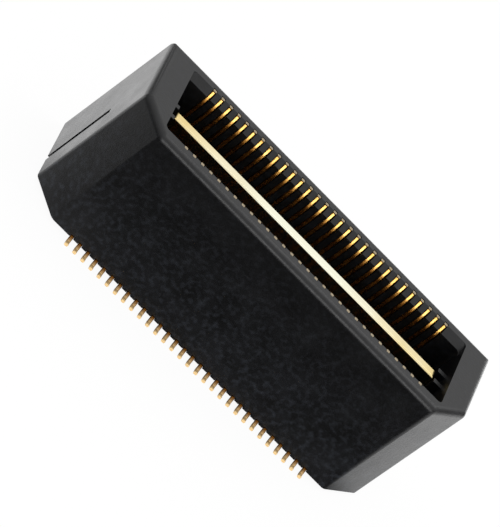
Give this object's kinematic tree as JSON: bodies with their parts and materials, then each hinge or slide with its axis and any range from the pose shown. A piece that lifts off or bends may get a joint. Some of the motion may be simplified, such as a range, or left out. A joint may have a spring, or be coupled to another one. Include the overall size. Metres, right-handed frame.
{
  "type": "board to board connector",
  "caption": "Two-row surface-mount board to board header: a black moulded shroud with cut corners, formed gold contacts, gull-wing solder tails and a ground blade between the rows.",
  "frame": {"origin": "on the board surface under the middle of the body, level with the soles of the solder tails", "axes": "+X along the rows of contacts, -Y towards the side with the two cut corners, +Z away from the board, the way the mating half comes from"},
  "size_m": [0.0198, 0.0068, 0.0073],
  "materials": {
    "housing": "moulded, satin black",
    "contact": "gold-plated strip",
    "blade": "gold-plated sheet"
  },
  "bodies": {
    "root": {"housing": "housing", "ground_blade": "blade", "front_contacts_01_02": "contact", "front_contacts_03_04": "contact", "front_contacts_05_06": "contact", "front_contacts_07_08": "contact", "front_contacts_09_10": "contact", "front_contacts_11_12": "contact", "front_contacts_13_14": "contact", "front_contacts_15_16": "contact", "front_contacts_17_18": "contact", "front_contacts_19_20": "contact", "front_contacts_21_22": "contact", "front_contacts_23_24": "contact", "front_contacts_25_26": "contact", "front_contacts_27_28": "contact", "front_contacts_29_30": "contact", "back_contacts_01_02": "contact", "back_contacts_03_04": "contact", "back_contacts_05_06": "contact", "back_contacts_07_08": "contact", "back_contacts_09_10": "contact", "back_contacts_11_12": "contact", "back_contacts_13_14": "contact", "back_contacts_15_16": "contact", "back_contacts_17_18": "contact", "back_contacts_19_20": "contact", "back_contacts_21_22": "contact", "back_contacts_23_24": "contact", "back_contacts_25_26": "contact", "back_contacts_27_28": "contact", "back_contacts_29_30": "contact"}
  },
  "joints": []
}
